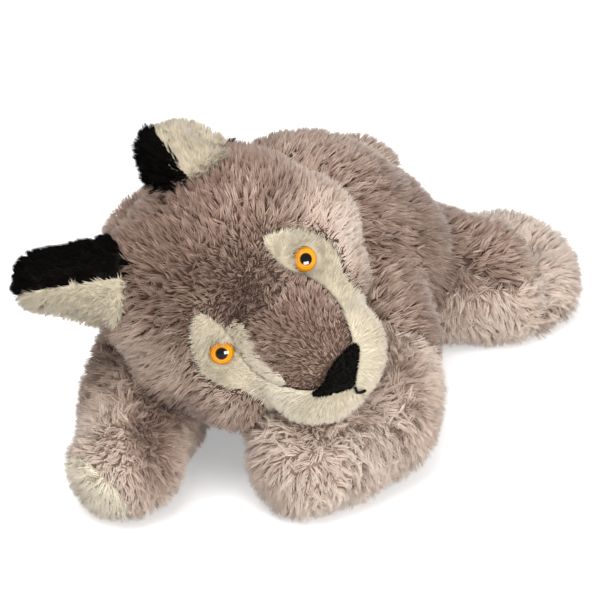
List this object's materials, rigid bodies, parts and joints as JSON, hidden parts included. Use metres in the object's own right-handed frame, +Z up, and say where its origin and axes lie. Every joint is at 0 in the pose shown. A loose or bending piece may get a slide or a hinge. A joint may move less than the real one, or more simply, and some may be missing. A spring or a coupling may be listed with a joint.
{
  "type": "plush wolf",
  "caption": "Stuffed plush wolf lying on its belly, head tilted over its forelegs, with set-in face panels, domed eyes, folded ears, soled paws and a bushy tail.",
  "frame": {"origin": "middle of the plush's box, at the ground it lies on", "axes": "+Z up, +X to the right of the picture, +Y away from it, towards the rump's far side; the paws point to -Y"},
  "size_m": [0.2878, 0.33, 0.1746],
  "materials": {
    "head": "taupe plush pile",
    "face_panel_left": "cream short pile",
    "face_panel_right": "cream short pile",
    "ear_back_left": "black plush pile",
    "ear_back_right": "black plush pile",
    "ear_lining_left": "cream short pile",
    "ear_lining_right": "cream short pile",
    "eye_left": "glossy amber dome",
    "eye_right": "glossy amber dome",
    "eye_washer_left": "white plastic, hidden",
    "eye_washer_right": "white plastic, hidden",
    "nose": "black velour",
    "mouth_stitch": "black thread",
    "torso": "taupe plush pile",
    "foreleg_left": "beige shaggy pile",
    "foreleg_right": "beige shaggy pile",
    "hind_leg_left": "beige shaggy pile",
    "hind_leg_right": "beige shaggy pile",
    "sole_foreleg_left": "cream short pile",
    "sole_foreleg_right": "cream short pile",
    "sole_hind_leg_left": "cream short pile",
    "sole_hind_leg_right": "cream short pile",
    "tail": "pale shaggy pile"
  },
  "bodies": {
    "root": {"head": "head", "face_panel_left": "face_panel_left", "face_panel_right": "face_panel_right", "ear_back_left": "ear_back_left", "ear_back_right": "ear_back_right", "ear_lining_left": "ear_lining_left", "ear_lining_right": "ear_lining_right", "eye_left": "eye_left", "eye_right": "eye_right", "eye_washer_left": "eye_washer_left", "eye_washer_right": "eye_washer_right", "nose": "nose", "mouth_stitch": "mouth_stitch", "torso": "torso", "foreleg_left": "foreleg_left", "foreleg_right": "foreleg_right", "hind_leg_left": "hind_leg_left", "hind_leg_right": "hind_leg_right", "sole_foreleg_left": "sole_foreleg_left", "sole_foreleg_right": "sole_foreleg_right", "sole_hind_leg_left": "sole_hind_leg_left", "sole_hind_leg_right": "sole_hind_leg_right", "tail": "tail"}
  },
  "joints": []
}
